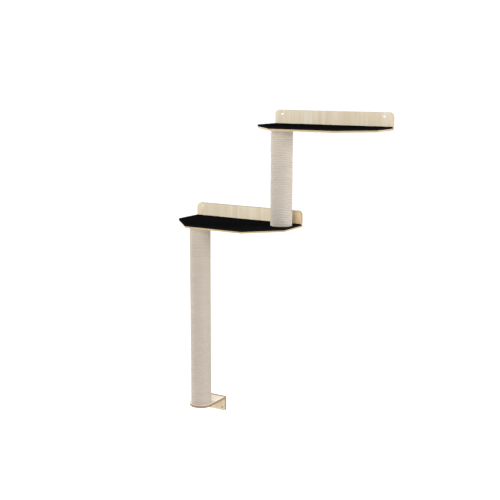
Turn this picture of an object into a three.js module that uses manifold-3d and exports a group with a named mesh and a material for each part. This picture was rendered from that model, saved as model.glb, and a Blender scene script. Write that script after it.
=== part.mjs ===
// A wall mounted cat tree: two padded shelves and a foot bracket that are screwed to a wall,
// joined by two rope-wound scratching posts. The lower post stands on the foot bracket and
// carries the middle shelf. The upper post stands on the middle shelf and carries the upper one.
//
// Millimetres, +Z up, +X to the right along the wall. The wall is the plane Y = 0 and the whole
// tree is in front of it, at Y < 0. The origin is the centre of the middle wall panel's back.

import * as THREE from 'three';
import { mergeVertices } from 'three/addons/utils/BufferGeometryUtils.js';
import Module from 'manifold-3d';

const wasm = await Module();
wasm.setup();

// ---------------------------------------------------------------- driving dimensions

// Gap that two touching pieces keep, and the gap round anything that goes in a hole.
const seat = 0.3;

// Shelves: a board with cut front corners behind a pad, butted to an upright wall panel.
const shelfWidth = 520;
const shelfDepth = 280;
const shelfSideDepth = 150;
const shelfCornerWidth = 125;
const shelfCornerRadius = 5;
const boardBackRadius = 1;
const boardThick = 9;
const padThick = 5.5;
const padEdgeDrawIn = 1.2;
const padCrownRise = 1;
const padCrownReach = 14;
const padHoleGap = 1;

// Upright panels that lie on the wall, with holes for the wall screws.
const panelThick = 13;
const panelHeight = 68;
const panelCornerRadius = 18;
const panelFootRadius = 2;
const fixingHoleDiameter = 6.5;
const panelHoleFromEnd = 35;
const panelHoleFromTop = 16;
const arris = 0.8;

// Posts: a cardboard tube with a plug in each end, wound with rope.
const tubeDiameter = 75;
const tubeWall = 4;
const ropeThick = 7;
const lowerPostLength = 800;
const upperPostLength = 400;
const windingLoops = 24;
const windingSteps = 14;
const windingTurnGap = 0.9;
const plugLength = 32;
const plugLeadIn = 1;
const insertDiameter = 12;
const insertLength = 22;
const insertFlangeDiameter = 19;
const insertFlangeThick = 1.6;

// Where the posts stand, measured to their centres.
const lowerPostFromWall = 125;
const lowerPostFromShelfEnd = 92;
const upperPostFromWall = 82;
const upperPostFromMiddleShelfEnd = 55;
const upperPostFromUpperShelfEnd = 72;

// Foot bracket: a round-nosed base butted to a small wall plate that hangs below it.
const footWidth = 100;
const footBaseThick = 11;
const footPlateHeight = 65;
const footPlateCornerRadius = 5;
const footHoleFromSide = 13;
const footHoleFromBottom = 14;

// Machine bolts that hold the posts, with a countersunk or a button head.
const boltDiameter = 8;
const boltEngagement = 18;
const boltSocketAcross = 5;
const boltSocketDepth = 2.6;
const boltTipBevel = 1;
const flatHeadDiameter = 16;
const buttonHeadDiameter = 15;
const buttonHeadHeight = 4.4;
const buttonHeadFlatDiameter = 9.4;
const buttonHeadRim = 1.5;
const washerDiameter = 24;
const washerThick = 1.6;

// Wood screws that hold the boards to their wall panels, driven in from behind.
const screwDiameter = 4;
const screwHeadDiameter = 8;
const screwLength = 42;
const screwTipLength = 6;
const screwSocketAcross = 2.4;
const screwSocketDepth = 1.6;
const shelfScrewFromEnd = 65;
const shelfScrewCount = 4;
const footScrewFromSide = 25;
const footScrewCount = 2;

// ---------------------------------------------------------------- places worked out from them

const postDiameter = tubeDiameter + 2 * ropeThick;
const shelfRise = boardThick + seat;
const middleShelfZ = -panelHeight / 2;
const upperPostZ = middleShelfZ + shelfRise;
const upperShelfZ = upperPostZ + upperPostLength + seat;
const lowerPostZ = middleShelfZ - seat - lowerPostLength;
const footTopZ = lowerPostZ - seat;

const shelfScrewPlaces = spaced(shelfWidth, shelfScrewFromEnd, shelfScrewCount);
const footScrewPlaces = spaced(footWidth, footScrewFromSide, footScrewCount);

const lowerPostX = -shelfWidth / 2 + lowerPostFromShelfEnd;
const upperPostX = shelfWidth / 2 - upperPostFromMiddleShelfEnd;
const upperShelfX = upperPostX - upperPostFromUpperShelfEnd + shelfWidth / 2;

// Places along a width that is centred on zero, the outer ones a given distance from its ends.
function spaced(width, fromEnd, count) {
  const first = -width / 2 + fromEnd;
  const step = (width - 2 * fromEnd) / (count - 1);
  return Array.from({ length: count }, (_, i) => first + i * step);
}

// ---------------------------------------------------------------- materials

const materialOf = {
  plywood: { color: 0xdecfb4, roughness: 0.62, metalness: 0 },
  pad: { color: 0x141619, roughness: 0.95, metalness: 0 },
  rope: { color: 0xd2c8b8, roughness: 0.9, metalness: 0 },
  cardboard: { color: 0xa98b66, roughness: 0.85, metalness: 0 },
  plug: { color: 0x2a2a2c, roughness: 0.5, metalness: 0 },
  zinc: { color: 0xb4b6b8, roughness: 0.35, metalness: 1 },
};

function part(name, finish, geometry, x = 0, y = 0, z = 0) {
  const mesh = new THREE.Mesh(geometry, new THREE.MeshStandardMaterial(materialOf[finish]));
  mesh.name = name;
  mesh.position.set(x, y, z);
  return mesh;
}

// ---------------------------------------------------------------- joining and cutting solids

function toSolid(geometry) {
  const bare = geometry.clone();
  for (const attribute of Object.keys(bare.attributes)) {
    if (attribute !== 'position') bare.deleteAttribute(attribute);
  }
  const merged = mergeVertices(bare, 1e-4);
  return new wasm.Manifold(new wasm.Mesh({
    numProp: 3,
    vertProperties: new Float32Array(merged.attributes.position.array),
    triVerts: new Uint32Array(merged.index.array),
  }));
}

function toGeometry(solid) {
  const mesh = solid.getMesh();
  const geometry = new THREE.BufferGeometry();
  geometry.setAttribute('position', new THREE.BufferAttribute(mesh.vertProperties, 3));
  geometry.setIndex(new THREE.BufferAttribute(mesh.triVerts, 1));
  geometry.computeVertexNormals();
  return geometry;
}

function cutFrom(geometry, cutters) {
  let solid = toSolid(geometry);
  for (const cutter of cutters) solid = solid.subtract(toSolid(cutter));
  return toGeometry(solid);
}

// ---------------------------------------------------------------- shared geometry

// A round bar on the Z axis between two heights, set at a place in the XY plane.
function bar(diameter, low, high, x = 0, y = 0, segments = 20) {
  const geometry = new THREE.CylinderGeometry(diameter / 2, diameter / 2, high - low, segments);
  geometry.rotateX(Math.PI / 2);
  geometry.translate(x, y, (low + high) / 2);
  return geometry;
}

// A turned shape on the Z axis. The profile lists [radius, height] from the bottom to the top,
// and starts and ends on the axis, or closes on itself where the piece has a bore.
function turned(profile, segments) {
  const points = profile.map(([radius, height]) => new THREE.Vector2(radius, height));
  const geometry = new THREE.LatheGeometry(points, segments);
  geometry.rotateX(Math.PI / 2);
  return geometry;
}

// A flat board of the given outline, from Z = 0 up, with its arrises eased.
function board(outline, thick) {
  const geometry = new THREE.ExtrudeGeometry(outline, {
    depth: thick - 2 * arris,
    bevelEnabled: true,
    bevelThickness: arris,
    bevelSize: arris,
    bevelOffset: -arris,
    bevelSegments: 1,
    curveSegments: 8,
  });
  geometry.translate(0, 0, arris);
  return geometry;
}

// The same board stood up against the wall: its outline is in XZ, and its back is at Y = 0.
function wallBoard(outline, thick) {
  const geometry = board(outline, thick);
  geometry.rotateX(Math.PI / 2);
  return geometry;
}

// Points round a convex outline whose corners are rounded. The inset draws every side in by the
// same distance. Each corner is { x, y, radius } and the corners go anticlockwise.
function roundedOutline(corners, inset, cornerSteps) {
  const count = corners.length;
  const sides = corners.map((from, i) => {
    const to = corners[(i + 1) % count];
    const along = new THREE.Vector2(to.x - from.x, to.y - from.y).normalize();
    const inward = new THREE.Vector2(-along.y, along.x);
    const start = new THREE.Vector2(from.x, from.y).addScaledVector(inward, inset);
    return { along, inward, start };
  });
  const points = [];
  corners.forEach((corner, i) => {
    const before = sides[(i + count - 1) % count];
    const after = sides[i];
    const turn = Math.acos(THREE.MathUtils.clamp(before.along.dot(after.along), -1, 1));
    const reach = new THREE.Vector2().subVectors(after.start, before.start);
    const cross = before.along.x * after.along.y - before.along.y * after.along.x;
    const run = (reach.x * after.along.y - reach.y * after.along.x) / cross;
    const tip = before.start.clone().addScaledVector(before.along, run);
    const radius = corner.radius;
    const setback = radius * Math.tan(turn / 2);
    const centre = tip.clone()
      .addScaledVector(before.along, -setback)
      .addScaledVector(before.inward, radius);
    const first = Math.atan2(-before.inward.y, -before.inward.x);
    for (let step = 0; step <= cornerSteps; step += 1) {
      const angle = first + (turn * step) / cornerSteps;
      points.push(new THREE.Vector2(
        centre.x + radius * Math.cos(angle),
        centre.y + radius * Math.sin(angle),
      ));
    }
  });
  return points;
}

// Joins rings of points into one closed skin, with a flat face at each end. Each ring goes
// anticlockwise when it is seen from the ring after it, and is convex.
function tubeThrough(rings) {
  const sides = rings[0].length;
  const positions = rings.flatMap((points) => points.flatMap((point) => point.toArray()));
  const indices = [];
  for (let r = 1; r < rings.length; r += 1) {
    for (let s = 0; s < sides; s += 1) {
      const a = (r - 1) * sides + s;
      const b = (r - 1) * sides + ((s + 1) % sides);
      indices.push(a, b, b + sides);
      indices.push(a, b + sides, a + sides);
    }
  }
  const last = (rings.length - 1) * sides;
  for (let s = 1; s < sides - 1; s += 1) {
    indices.push(0, s + 1, s);
    indices.push(last, last + s, last + s + 1);
  }
  const geometry = new THREE.BufferGeometry();
  geometry.setAttribute('position', new THREE.Float32BufferAttribute(positions, 3));
  geometry.setIndex(indices);
  geometry.computeVertexNormals();
  return geometry;
}

// ---------------------------------------------------------------- fasteners

// A bolt that hangs from its head at Z = 0 and points down. Its drive is a hexagon socket.
function bolt(headProfile, shankLength) {
  const radius = boltDiameter / 2;
  const profile = [
    [0, -shankLength],
    [radius - boltTipBevel, -shankLength],
    [radius, -shankLength + boltTipBevel],
    ...headProfile,
  ];
  const headTop = headProfile[headProfile.length - 1][1];
  const socket = bar(
    boltSocketAcross / Math.cos(Math.PI / 6), headTop - boltSocketDepth, headTop + 1, 0, 0, 6,
  );
  return cutFrom(turned(profile, 20), [socket]);
}

// A 90 degree countersunk head, flush at Z = 0.
function flatHeadProfile() {
  const coneHeight = (flatHeadDiameter - boltDiameter) / 2;
  return [[boltDiameter / 2, -coneHeight], [flatHeadDiameter / 2, 0], [0, 0]];
}

// A domed button head that stands above Z = 0.
function buttonHeadProfile() {
  const radius = buttonHeadDiameter / 2;
  const flat = buttonHeadFlatDiameter / 2;
  const domeMiddle = (radius + flat) / 2;
  const domeHeight = buttonHeadRim + (buttonHeadHeight - buttonHeadRim) * Math.SQRT1_2;
  return [
    [boltDiameter / 2, 0],
    [radius, 0],
    [radius, buttonHeadRim],
    [domeMiddle, domeHeight],
    [flat, buttonHeadHeight],
    [0, buttonHeadHeight],
  ];
}

function ring(outerDiameter, innerDiameter, thick, segments) {
  const outer = outerDiameter / 2;
  const inner = innerDiameter / 2;
  return turned([[inner, 0], [outer, 0], [outer, thick], [inner, thick], [inner, 0]], segments);
}

// A wood screw that points along -Y from a countersunk head just inside Y = 0.
function woodScrew() {
  const head = screwHeadDiameter / 2;
  const shank = screwDiameter / 2;
  const profile = [
    [0, -screwLength],
    [shank * 0.35, -screwLength],
    [shank, -screwLength + screwTipLength],
    [shank, -(head - shank)],
    [head, 0],
    [0, 0],
  ];
  const socket = bar(screwSocketAcross * Math.SQRT2, -screwSocketDepth, 1, 0, 0, 4);
  const geometry = cutFrom(turned(profile, 12), [socket]);
  geometry.rotateX(-Math.PI / 2);
  geometry.translate(0, -seat, 0);
  return geometry;
}

// What a wood screw needs cut away: the countersink and the hole, as one cutter along -Y.
function woodScrewHole(x, z) {
  const head = screwHeadDiameter / 2 + seat;
  const shank = screwDiameter / 2 + seat;
  const profile = [
    [0, -screwLength - seat * 3],
    [shank, -screwLength - seat * 3],
    [shank, -(head - shank) - seat],
    [head, -seat],
    [head, 1],
    [0, 1],
  ];
  const geometry = turned(profile, 12);
  geometry.rotateX(-Math.PI / 2);
  geometry.translate(x, 0, z);
  return geometry;
}

// A hole for a wall screw right through an upright board.
function fixingHole(x, z) {
  const geometry = bar(fixingHoleDiameter, -1, panelThick + 1, 0, 0, 24);
  geometry.rotateX(Math.PI / 2);
  geometry.translate(x, 0, z);
  return geometry;
}

// Holes for the post bolts in a flat board whose underside is at Z = 0.
function plainBoltHole(x, y, thick) {
  return bar(boltDiameter + 2 * seat, -1, thick + 1, x, y);
}

function countersunkBoltHole(x, y, thick) {
  const head = flatHeadDiameter / 2 + seat;
  const shank = boltDiameter / 2 + seat;
  const profile = [
    [0, -1],
    [shank, -1],
    [shank, thick - (head - shank)],
    [head, thick],
    [head, thick + 1],
    [0, thick + 1],
  ];
  const geometry = turned(profile, 20);
  geometry.translate(x, y, 0);
  return geometry;
}

// ---------------------------------------------------------------- shelves

// The plan of a shelf in front of its wall panel, centred on X = 0.
function shelfCorners() {
  const side = shelfWidth / 2;
  const front = side - shelfCornerWidth;
  const back = -panelThick - seat;
  const radius = shelfCornerRadius;
  return [
    { x: -side, y: back, radius: boardBackRadius },
    { x: -side, y: -shelfSideDepth, radius },
    { x: -front, y: -shelfDepth, radius },
    { x: front, y: -shelfDepth, radius },
    { x: side, y: -shelfSideDepth, radius },
    { x: side, y: back, radius: boardBackRadius },
  ];
}

function shelfBoard(boltHoles) {
  const outline = new THREE.Shape(roundedOutline(shelfCorners(), 0, 4));
  return cutFrom(board(outline, boardThick), [
    ...boltHoles,
    ...shelfScrewPlaces.map((x) => woodScrewHole(x, boardThick / 2)),
  ]);
}

// A pad of the shelf's own plan, from Z = 0 up. Its sides draw in above and below, and its top
// rises to a shallow crown. Where a post stands on the board, a hole is cut for it.
function shelfPad(postHoles) {
  const levels = [
    { inset: padEdgeDrawIn, height: 0 },
    { inset: 0, height: padThick * 0.35 },
    { inset: padEdgeDrawIn, height: padThick - padCrownRise },
    { inset: padCrownReach, height: padThick },
  ];
  const rings = levels.map(({ inset, height }) => (
    roundedOutline(shelfCorners(), inset, 3).map(({ x, y }) => new THREE.Vector3(x, y, height))
  ));
  const pad = tubeThrough(rings);
  return postHoles.length > 0 ? cutFrom(pad, postHoles) : pad;
}

function shelfWallPanel() {
  const side = shelfWidth / 2;
  const corners = [
    { x: -side, y: 0, radius: panelFootRadius },
    { x: side, y: 0, radius: panelFootRadius },
    { x: side, y: panelHeight, radius: panelCornerRadius },
    { x: -side, y: panelHeight, radius: panelCornerRadius },
  ];
  const outline = new THREE.Shape(roundedOutline(corners, 0, 6));
  const holeX = side - panelHoleFromEnd;
  const holeZ = panelHeight - panelHoleFromTop;
  return cutFrom(wallBoard(outline, panelThick), [
    fixingHole(-holeX, holeZ),
    fixingHole(holeX, holeZ),
    ...shelfScrewPlaces.map((x) => woodScrewHole(x, boardThick / 2)),
  ]);
}

// A whole shelf, with Z = 0 at the underside of its board and of its wall panel.
function shelf(name, boltHoles, padHoles) {
  const group = new THREE.Group();
  group.add(part(`${name}_wall_panel`, 'plywood', shelfWallPanel()));
  group.add(part(`${name}_shelf_board`, 'plywood', shelfBoard(boltHoles)));
  group.add(part(`${name}_shelf_pad`, 'pad', shelfPad(padHoles), 0, 0, shelfRise));
  shelfScrewPlaces.forEach((x, i) => {
    group.add(part(`${name}_panel_screw_${i + 1}`, 'zinc', woodScrew(), x, 0, boardThick / 2));
  });
  return group;
}

// ---------------------------------------------------------------- foot bracket

// The base's plan: straight sides from the wall plate, and a nose round the post's centre.
function footBase() {
  const radius = footWidth / 2;
  const back = -panelThick - seat;
  const outline = new THREE.Shape();
  outline.moveTo(radius, back);
  outline.lineTo(-radius, back);
  outline.lineTo(-radius, -lowerPostFromWall);
  outline.absarc(0, -lowerPostFromWall, radius, Math.PI, 2 * Math.PI, false);
  outline.closePath();
  const geometry = new THREE.ExtrudeGeometry(outline, {
    depth: footBaseThick - 2 * arris,
    bevelEnabled: true,
    bevelThickness: arris,
    bevelSize: arris,
    bevelOffset: -arris,
    bevelSegments: 1,
    curveSegments: 24,
  });
  geometry.translate(0, 0, arris);
  return cutFrom(geometry, [
    plainBoltHole(0, -lowerPostFromWall, footBaseThick),
    ...footScrewPlaces.map((x) => woodScrewHole(x, footBaseThick / 2)),
  ]);
}

// The wall plate's top is level with the base's top, and the rest of it hangs below.
function footWallPlate() {
  const side = footWidth / 2;
  const bottom = footBaseThick - footPlateHeight;
  const corners = [
    { x: -side, y: bottom, radius: footPlateCornerRadius },
    { x: side, y: bottom, radius: footPlateCornerRadius },
    { x: side, y: footBaseThick, radius: boardBackRadius },
    { x: -side, y: footBaseThick, radius: boardBackRadius },
  ];
  const outline = new THREE.Shape(roundedOutline(corners, 0, 5));
  const holeX = side - footHoleFromSide;
  const holeZ = bottom + footHoleFromBottom;
  return cutFrom(wallBoard(outline, panelThick), [
    fixingHole(-holeX, holeZ),
    fixingHole(holeX, holeZ),
    ...footScrewPlaces.map((x) => woodScrewHole(x, footBaseThick / 2)),
  ]);
}

// The whole bracket, with Z = 0 at the base's underside.
function footBracket() {
  const group = new THREE.Group();
  group.add(part('foot_wall_plate', 'plywood', footWallPlate()));
  group.add(part('foot_base_plate', 'plywood', footBase()));
  footScrewPlaces.forEach((x, i) => {
    group.add(part(`foot_bracket_screw_${i + 1}`, 'zinc', woodScrew(), x, 0, footBaseThick / 2));
  });
  return group;
}

// ---------------------------------------------------------------- posts

// The rope winding stands for the many fine turns by a few broad ones: one unbroken band that
// goes round the tube and climbs by its own width each turn. It is one rope high where it starts
// and ends, so that the first and last turns fill the post right to its ends.
function ropeWinding(length) {
  const facet = Math.PI / windingSteps;
  const inner = (tubeDiameter / 2) / Math.cos(facet) + seat;
  const outer = postDiameter / 2;
  const middle = (inner + outer) / 2;
  const easing = (outer - inner) / 2;
  const climb = (length - 2 * ropeThick) / (windingLoops - 1);
  const steps = windingLoops * windingSteps;
  const rings = [];
  const addRing = (turns, straight) => {
    const low = Math.max(0, climb * (turns - 1) + ropeThick);
    const high = Math.min(length, climb * turns + ropeThick);
    const angle = 2 * Math.PI * turns;
    const centre = (low + high) / 2;
    const half = (high - low - windingTurnGap) / 2;
    const flat = Math.max(half - easing, half * 0.4);
    const section = [
      [inner, flat], [middle, half], [outer, flat], [outer, -flat], [middle, -half], [inner, -flat],
    ];
    rings.push(section.map(([radius, height]) => new THREE.Vector3(
      radius * Math.cos(angle) - straight * Math.sin(angle),
      radius * Math.sin(angle) + straight * Math.cos(angle),
      centre + height,
    )));
  };
  addRing(0, -ropeThick);
  for (let step = 0; step <= steps; step += 1) addRing(step / windingSteps, 0);
  addRing(windingLoops, ropeThick);
  reportLeastGap(rings);
  return tubeThrough(rings);
}

// Measures how near a winding comes to itself, on points of turns at least half a loop apart.
function reportLeastGap(rings) {
  const apart = Math.floor(windingSteps / 2);
  let least = Infinity;
  for (let i = 0; i < rings.length; i += 1) {
    for (let j = i + apart; j < rings.length; j += 1) {
      for (const from of rings[i]) {
        for (const to of rings[j]) least = Math.min(least, from.distanceTo(to));
      }
    }
  }
  console.log(`rope winding: least gap to itself ${least.toFixed(2)} mm`);
}

// A plug that fills an end of the tube, with its outer face at Z = 0 and its body below.
function endPlug() {
  const outer = tubeDiameter / 2 - tubeWall - seat;
  const bore = insertDiameter / 2 + seat;
  const recess = insertFlangeDiameter / 2 + seat;
  const recessDepth = insertFlangeThick + 2 * seat;
  return turned([
    [bore, -plugLength],
    [outer - plugLeadIn, -plugLength],
    [outer, -plugLength + plugLeadIn],
    [outer, 0],
    [recess, 0],
    [recess, -recessDepth],
    [bore, -recessDepth],
    [bore, -plugLength],
  ], 28);
}

// A threaded insert with its flange let into the plug's face, flange at the top.
function threadedInsert() {
  const bore = boltDiameter / 2 + seat;
  const body = insertDiameter / 2;
  const flange = insertFlangeDiameter / 2;
  return turned([
    [bore, -insertLength],
    [body, -insertLength],
    [body, -insertFlangeThick],
    [flange, -insertFlangeThick],
    [flange, 0],
    [bore, 0],
    [bore, -insertLength],
  ], 16);
}

// Everything at one end of a post, for an end that faces up: the plug and its insert.
function postEnd(name, facesUp) {
  const group = new THREE.Group();
  group.add(part(`${name}_plug`, 'plug', endPlug()));
  group.add(part(`${name}_insert`, 'zinc', threadedInsert(), 0, 0, -seat));
  if (!facesUp) group.rotation.x = Math.PI;
  return group;
}

// A whole post, with Z = 0 at its lower end. The board under it and the board on it are given
// by their thickness, because the bolts pass through them.
function post(name, length, boardBelow, boardAbove) {
  const group = new THREE.Group();
  const inner = tubeDiameter - 2 * tubeWall;
  group.add(part(`${name}_tube`, 'cardboard', ring(tubeDiameter, inner, length, 48)));
  group.add(part(`${name}_rope`, 'rope', ropeWinding(length)));
  const top = postEnd(`${name}_top`, true);
  top.position.z = length;
  group.add(top);
  group.add(postEnd(`${name}_bottom`, false));

  const topReach = boardAbove + boltEngagement;
  const topBoltZ = length + seat + boardAbove - seat;
  group.add(part(`${name}_top_bolt`, 'zinc', bolt(flatHeadProfile(), topReach), 0, 0, topBoltZ));

  const washerZ = -2 * seat - boardBelow - washerThick;
  const washer = ring(washerDiameter, boltDiameter + 2 * seat, washerThick, 24);
  group.add(part(`${name}_bottom_washer`, 'zinc', washer, 0, 0, washerZ));
  const bottomReach = washerThick + boardBelow + boltEngagement;
  const bottomBolt = part(`${name}_bottom_bolt`, 'zinc', bolt(buttonHeadProfile(), bottomReach));
  bottomBolt.rotation.x = Math.PI;
  bottomBolt.position.z = washerZ - seat;
  group.add(bottomBolt);
  return group;
}

// ---------------------------------------------------------------- the whole tree

function place(group, x, y, z) {
  group.position.set(x, y, z);
  return group;
}

const upperPostOnUpperShelf = upperPostX - upperShelfX;
const padHole = bar(
  postDiameter + 2 * padHoleGap, -1, padThick + 1, upperPostX, -upperPostFromWall, 32,
);

const middleShelf = shelf('middle', [
  countersunkBoltHole(lowerPostX, -lowerPostFromWall, boardThick),
  plainBoltHole(upperPostX, -upperPostFromWall, boardThick),
], [padHole]);
const upperShelf = shelf('upper', [
  countersunkBoltHole(upperPostOnUpperShelf, -upperPostFromWall, boardThick),
], []);
const lowerPost = post('lower_post', lowerPostLength, footBaseThick, boardThick);
const upperPost = post('upper_post', upperPostLength, boardThick, boardThick);

const catTree = new THREE.Group();
catTree.add(place(footBracket(), lowerPostX, 0, footTopZ - footBaseThick));
catTree.add(place(lowerPost, lowerPostX, -lowerPostFromWall, lowerPostZ));
catTree.add(place(middleShelf, 0, 0, middleShelfZ));
catTree.add(place(upperPost, upperPostX, -upperPostFromWall, upperPostZ));
catTree.add(place(upperShelf, upperShelfX, 0, upperShelfZ));

export default catTree;
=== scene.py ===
"""Looks of a wall mounted cat tree: two padded plywood shelves and a foot bracket, joined by
two scratching posts wound with rope. Metres, in the frame of the CAD part."""

import math

import bmesh
import bpy
import numpy as np
from mathutils import Matrix, Vector, noise
from mathutils.geometry import delaunay_2d_cdt, tessellate_polygon


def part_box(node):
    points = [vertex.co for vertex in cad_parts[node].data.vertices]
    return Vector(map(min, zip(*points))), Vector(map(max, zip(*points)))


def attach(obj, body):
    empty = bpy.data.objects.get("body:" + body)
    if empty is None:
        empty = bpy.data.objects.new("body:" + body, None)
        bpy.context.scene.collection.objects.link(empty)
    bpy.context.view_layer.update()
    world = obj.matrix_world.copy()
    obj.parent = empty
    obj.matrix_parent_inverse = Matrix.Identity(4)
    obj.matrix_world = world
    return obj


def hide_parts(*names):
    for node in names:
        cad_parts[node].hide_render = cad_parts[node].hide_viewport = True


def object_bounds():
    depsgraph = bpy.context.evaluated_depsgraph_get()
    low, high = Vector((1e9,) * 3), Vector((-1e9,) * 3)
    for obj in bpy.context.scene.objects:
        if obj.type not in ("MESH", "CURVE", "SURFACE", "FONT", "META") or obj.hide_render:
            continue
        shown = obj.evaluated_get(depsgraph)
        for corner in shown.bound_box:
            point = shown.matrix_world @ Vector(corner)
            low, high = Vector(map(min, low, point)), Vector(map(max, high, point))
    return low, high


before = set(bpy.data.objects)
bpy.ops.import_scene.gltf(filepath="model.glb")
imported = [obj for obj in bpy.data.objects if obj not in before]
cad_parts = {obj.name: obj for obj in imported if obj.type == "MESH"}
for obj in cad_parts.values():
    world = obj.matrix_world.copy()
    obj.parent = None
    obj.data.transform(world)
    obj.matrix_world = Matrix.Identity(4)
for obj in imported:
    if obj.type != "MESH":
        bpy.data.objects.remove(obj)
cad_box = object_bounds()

MM = 0.001
BODY = "root"

# ---------------------------------------------------------------- sizes, in metres

# Boards, as the CAD part has them. The radii are those of their corners.
SHELF_SIDE_DEPTH = 150 * MM
SHELF_CORNER_WIDTH = 125 * MM
SHELF_FRONT_RADIUS = 5 * MM
SHELF_BACK_RADIUS = 1 * MM
PANEL_TOP_RADIUS = 18 * MM
PANEL_BOTTOM_RADIUS = 2 * MM
FOOT_BASE_BACK_RADIUS = 1 * MM
FOOT_PLATE_TOP_RADIUS = 1 * MM
FOOT_PLATE_BOTTOM_RADIUS = 5 * MM

# The eased arrises of every board, and how finely an outline follows its corners.
ARRIS = 0.8 * MM
ARRIS_STEPS = 3
OUTLINE_SEGMENT = 1.5 * MM
OUTLINE_CORNER_STEPS = 3
SMALLEST_RADIUS = 0.3 * MM
SAME_POINT = 0.001 * MM
NO_LENGTH = 1e-9

# Holes in the boards. The fixing holes are the ones for the wall screws.
HOLE_STEPS = 32
HOLE_EASE = 0.4 * MM
FIXING_HOLE = 6.5 * MM
PANEL_HOLE_FROM_END = 35 * MM
PANEL_HOLE_FROM_TOP = 16 * MM
FOOT_HOLE_FROM_SIDE = 13 * MM
FOOT_HOLE_FROM_BOTTOM = 14 * MM
SCREW_HOLE = 4.6 * MM
SCREW_HEAD_HOLE = 8.6 * MM
SHELF_SCREWS = 4
SHELF_SCREW_SPACING = 130 * MM
FOOT_SCREWS = 2
FOOT_SCREW_SPACING = 50 * MM
BOLT_HOLE = 8.6 * MM
BOLT_HEAD_HOLE = 16.6 * MM

# Screws that hold the boards to the wall: their shanks' radius, and how far short of the wall
# these end.
WALL_SCREW_SHANK = 2.2 * MM
WALL_SCREW_SHORT = 0.1 * MM
# The head, as millimetres from its middle and over the board, and then its cross recess.
WALL_SCREW_HEAD = [
    (3.75, 0.0), (4.05, 0.25), (4.1, 1.0), (3.9, 1.6), (3.5, 2.0), (3.0, 2.25), (2.4, 2.4),
]
WALL_SCREW_SIDES = 36
CROSS_ARM = 1.9 * MM
CROSS_HALF_WIDTH = 0.45 * MM
CROSS_DEPTH = 1.4 * MM
CROSS_FLOOR_SHARE = 0.5
# How far the crosses are turned, in radians, and how much more for each metre along and up.
CROSS_TURN = 0.4
CROSS_TURN_CHANGE = 7

# How many plies show on a sawn edge.
PLIES = {"panel": 9, "board": 7, "foot": 7}

# Rope on the posts, laid turn on turn round a cardboard tube. It has ROPE_SIDES points round
# itself and ROPE_STEPS in each turn, and ROPE_RUN_OUT of these steps are left out at each end.
TUBE_RADIUS = 37.5 * MM
ROPE_DIAMETER = 7.0 * MM
POST_RADIUS = TUBE_RADIUS + ROPE_DIAMETER
ROPE_PITCH_WANTED = 7.2 * MM
ROPE_SIDES = 12
ROPE_STEPS = 72
ROPE_RUN_OUT = 7
# How square its section is, from 2 for round, and its height as a share of the pitch.
ROPE_FLATNESS = 4.0
ROPE_SQUASH = 0.985
ROPE_PROUD = 0.35 * MM
# The strands: from one to the next along the rope, and how many one crosses in a turn's height.
ROPE_STRAND_LENGTH = 7.6 * MM
ROPE_STRAND_LEAN = 0.85

# Pads: the sections of their edges, as millimetres out from the board's edge or the post and up
# from the board's top. The outer one goes from the underside over the board's edge, where it
# hangs a little, past the seam and on to the flat of the top.
PAD_EDGE = [
    (0.35, 0.3), (0.35, -1.5), (0.7, -2.1), (1.25, -1.75), (1.5, -0.7), (1.45, 0.5),
    (1.05, 1.15), (0.95, 1.35), (1.1, 1.55), (1.55, 2.2), (1.5, 3.2), (1.05, 4.2),
    (0.1, 4.95), (-1.6, 5.45), (-3.6, 5.65),
]
PAD_HOLE_EDGE = [(0, 0.3), (0, 3.6), (0.3, 4.6), (1.0, 5.25), (2.1, 5.55), (3.4, 5.65)]
PAD_CORNER_RADIUS = 9 * MM
# At the back a pad ends short of the wall panel, and over a narrow strip it stays above the board.
PAD_WALL_GAP = 0.15 * MM
PAD_BACK_STRIP = 0.9 * MM
PAD_BOARD_GAP = 0.3 * MM
# The gap round a post, and how much of the hole's radius counts as within it.
PAD_POST_GAP = 0.6 * MM
PAD_HOLE_STEPS = 72
PAD_HOLE_SHARE = 0.99
# The grid of points in a pad's top: along a row, from the edges and from row to row.
PAD_GRID = 7.0 * MM
PAD_GRID_MARGIN = PAD_GRID * 0.4
PAD_GRID_ROWS = PAD_GRID * 0.87
PAD_SAME_POINT = 0.01 * MM
# Swells in a pad's top, broad ones and finer, lower ones: how high they are, how many come in a
# metre, and how many millimetres over the board they begin and reach their height.
PAD_WAVINESS = 0.35 * MM
BROAD_SWELLS = 16
FINE_SWELLS = 37
FINE_SWELL_SHARE = 0.5
SWELL_START = 4.0
SWELL_WHOLE = 5.7

# Eased edges of the screws, bolts and plugs.
HARDWARE_EASE = 0.15 * MM
HARDWARE_EASE_STEPS = 2
HARDWARE_EDGE_ANGLE = math.radians(35)

# Kinds of CAD nodes that a piece of this script takes the place of.
SHAPED_HERE = ("board", "panel", "pad", "rope", "plate")

# The floor lies far below the tree.
FLOOR_HEIGHT = -1.6
FLOOR_REACH = 20.0
FLOOR_ROUGHNESS = 0.9
# The white that the floor adds by itself, near the tree and beyond the reach of the lamps.
FLOOR_GLOW = (0.2, 0.95)
FLOOR_GLOW_REACH = (1.0, 4.5)


def post_middle(post):
    """Where a post stands, seen from above."""
    low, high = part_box(f"{post}_tube")
    return Vector(((low.x + high.x) / 2, (low.y + high.y) / 2))


LOWER_POST = post_middle("lower_post")
UPPER_POST = post_middle("upper_post")

# ---------------------------------------------------------------- camera and light

# Where the photograph was taken from, found by fitting the part's corners to it.
CAMERA_PLACE = Vector((2.1016, -3.3978, 0.5810))
CAMERA_TURN = math.radians(31.675)
CAMERA_DIP = math.radians(10.45)
CAMERA_ROLL = math.radians(0.156)
FOCAL_PIXELS = 945.4
IMAGE_PIXELS = 500
SENSOR_WIDTH = 36.0
CAMERA_CLIP = (0.05, 60.0)

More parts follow.
